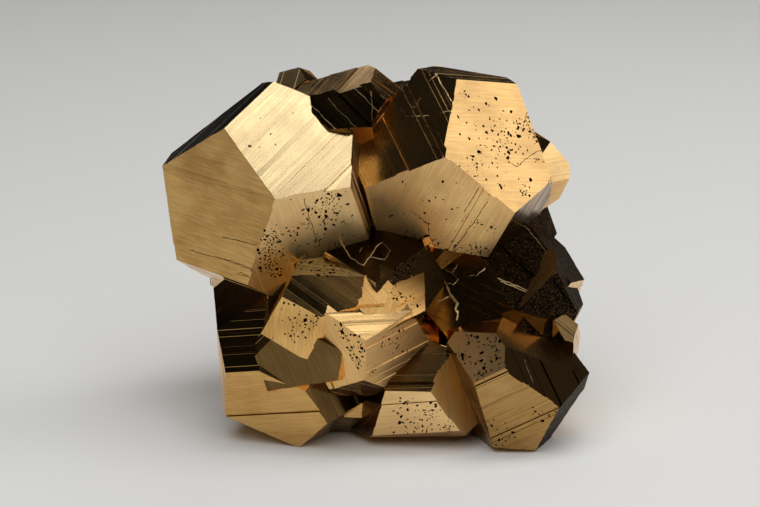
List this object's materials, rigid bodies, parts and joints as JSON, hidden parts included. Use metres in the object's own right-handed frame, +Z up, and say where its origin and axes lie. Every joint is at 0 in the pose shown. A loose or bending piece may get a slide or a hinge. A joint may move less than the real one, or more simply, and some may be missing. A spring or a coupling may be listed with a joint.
{
  "type": "mineral specimen",
  "caption": "Cluster of intergrown pyrite crystals, blocky five-sided faces with fine growth ledges and pits, standing on a flat break.",
  "frame": {"origin": "under the middle of the cluster's bounding box, on the surface it rests on", "axes": "+Z up, front of the specimen towards -Y, +X to the right seen from the front"},
  "size_m": [0.0842, 0.0638, 0.072],
  "materials": {
    "pyrite": "bright natural crystal faces with darker, rougher patches"
  },
  "bodies": {
    "root": {"pyrite_cluster": "pyrite"}
  },
  "joints": []
}
